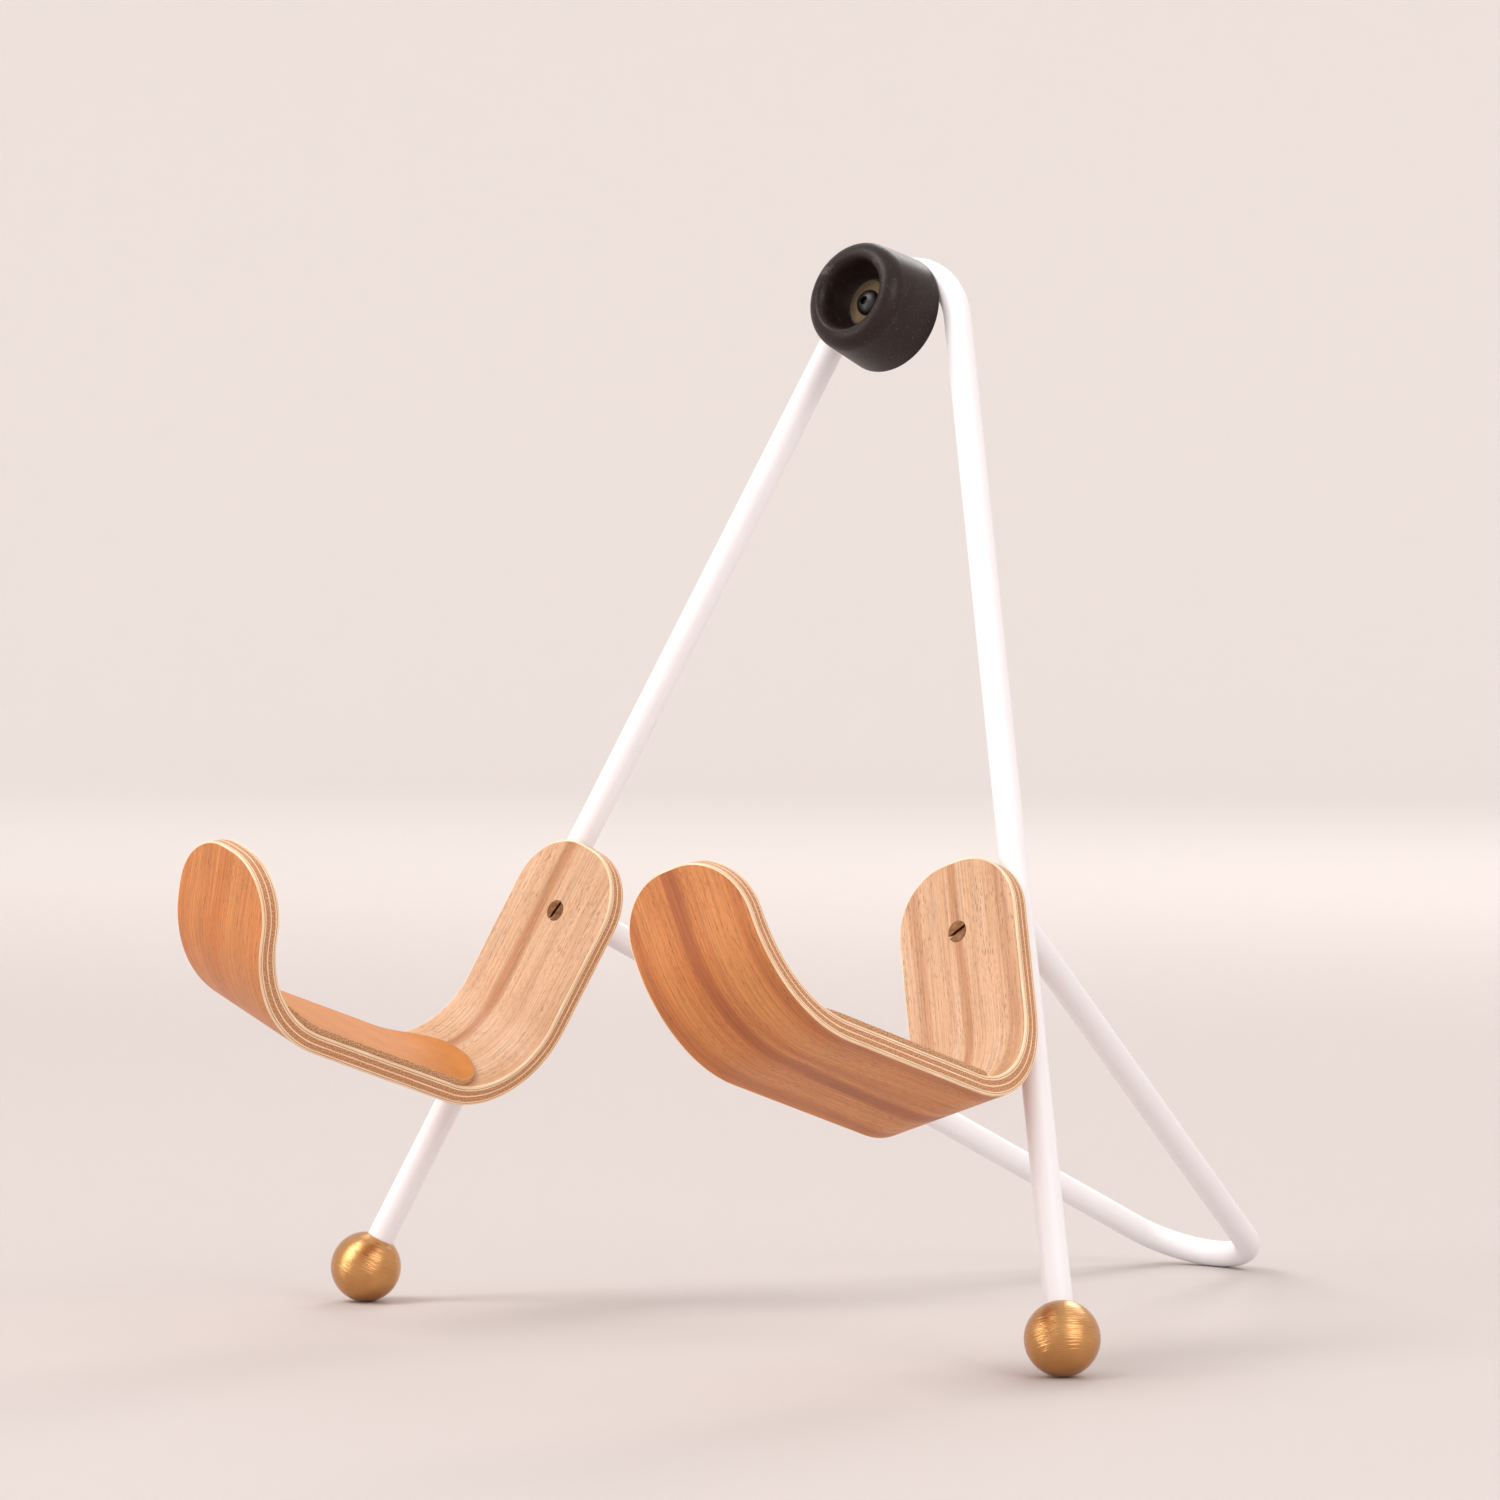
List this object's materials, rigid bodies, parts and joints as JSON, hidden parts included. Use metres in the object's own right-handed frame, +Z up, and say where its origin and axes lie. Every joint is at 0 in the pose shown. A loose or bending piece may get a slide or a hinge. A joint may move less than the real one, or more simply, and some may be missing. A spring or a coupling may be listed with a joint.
{
  "type": "guitar stand",
  "caption": "Free-standing guitar stand: bent steel rod A-frame on brass ball feet, bent plywood cradles with soft pads, and a rubber bumper at the top of the arch.",
  "frame": {"origin": "on the floor, in the middle of the stand's width and depth", "axes": "+Z up, -Y towards the front, where the cradles reach out; +X across, left to right of someone who stands in front of it and looks at it"},
  "size_m": [0.3474, 0.427, 0.3803],
  "materials": {
    "frame_coat": "white powder coat, satin gloss",
    "foot_brass": "satin brass",
    "screw_brass": "dull aged brass",
    "plywood": "oiled oak-like face veneer, bare ply edges",
    "pad_leather": "smooth tan leather, matte",
    "bumper_rubber": "semi-matte black rubber",
    "washer_bronze": "dull bronze",
    "dark_steel": "black oxide",
    "steel": "zinc plated",
    "fibre": "vulcanised fibre"
  },
  "bodies": {
    "stand": {"bumper": "bumper_rubber", "bumper_nut": "steel", "bumper_screw": "dark_steel", "bumper_tab": "frame_coat", "bumper_tab_weld": "frame_coat", "bumper_washer": "washer_bronze", "front_frame": "frame_coat", "left_cradle_screw": "screw_brass", "left_cradle_tab": "frame_coat", "left_cradle_washer": "fibre", "left_foot_ball": "foot_brass", "left_foot_stud": "steel", "left_leg_weld": "frame_coat", "left_lock_nut": "steel", "rear_leg": "frame_coat", "right_cradle_screw": "screw_brass", "right_cradle_tab": "frame_coat", "right_cradle_washer": "fibre", "right_foot_ball": "foot_brass", "right_foot_stud": "steel", "right_leg_weld": "frame_coat", "right_lock_nut": "steel"},
    "left_rest": {"left_cradle": "plywood", "left_cradle_pad": "pad_leather"},
    "right_rest": {"right_cradle": "plywood", "right_cradle_pad": "pad_leather"}
  },
  "joints": [
    {"name": "left_cradle_swivel", "type": "hinge", "parent": "stand", "child": "left_rest", "pos_m": [-0.0931, -0.04621, 0.13904], "axis": [0, -0.953, 0.303], "range_deg": [-20, 25]},
    {"name": "right_cradle_swivel", "type": "hinge", "parent": "stand", "child": "right_rest", "pos_m": [0.0931, -0.04621, 0.13904], "axis": [0, 0.953, -0.303], "range_deg": [-20, 25]}
  ]
}
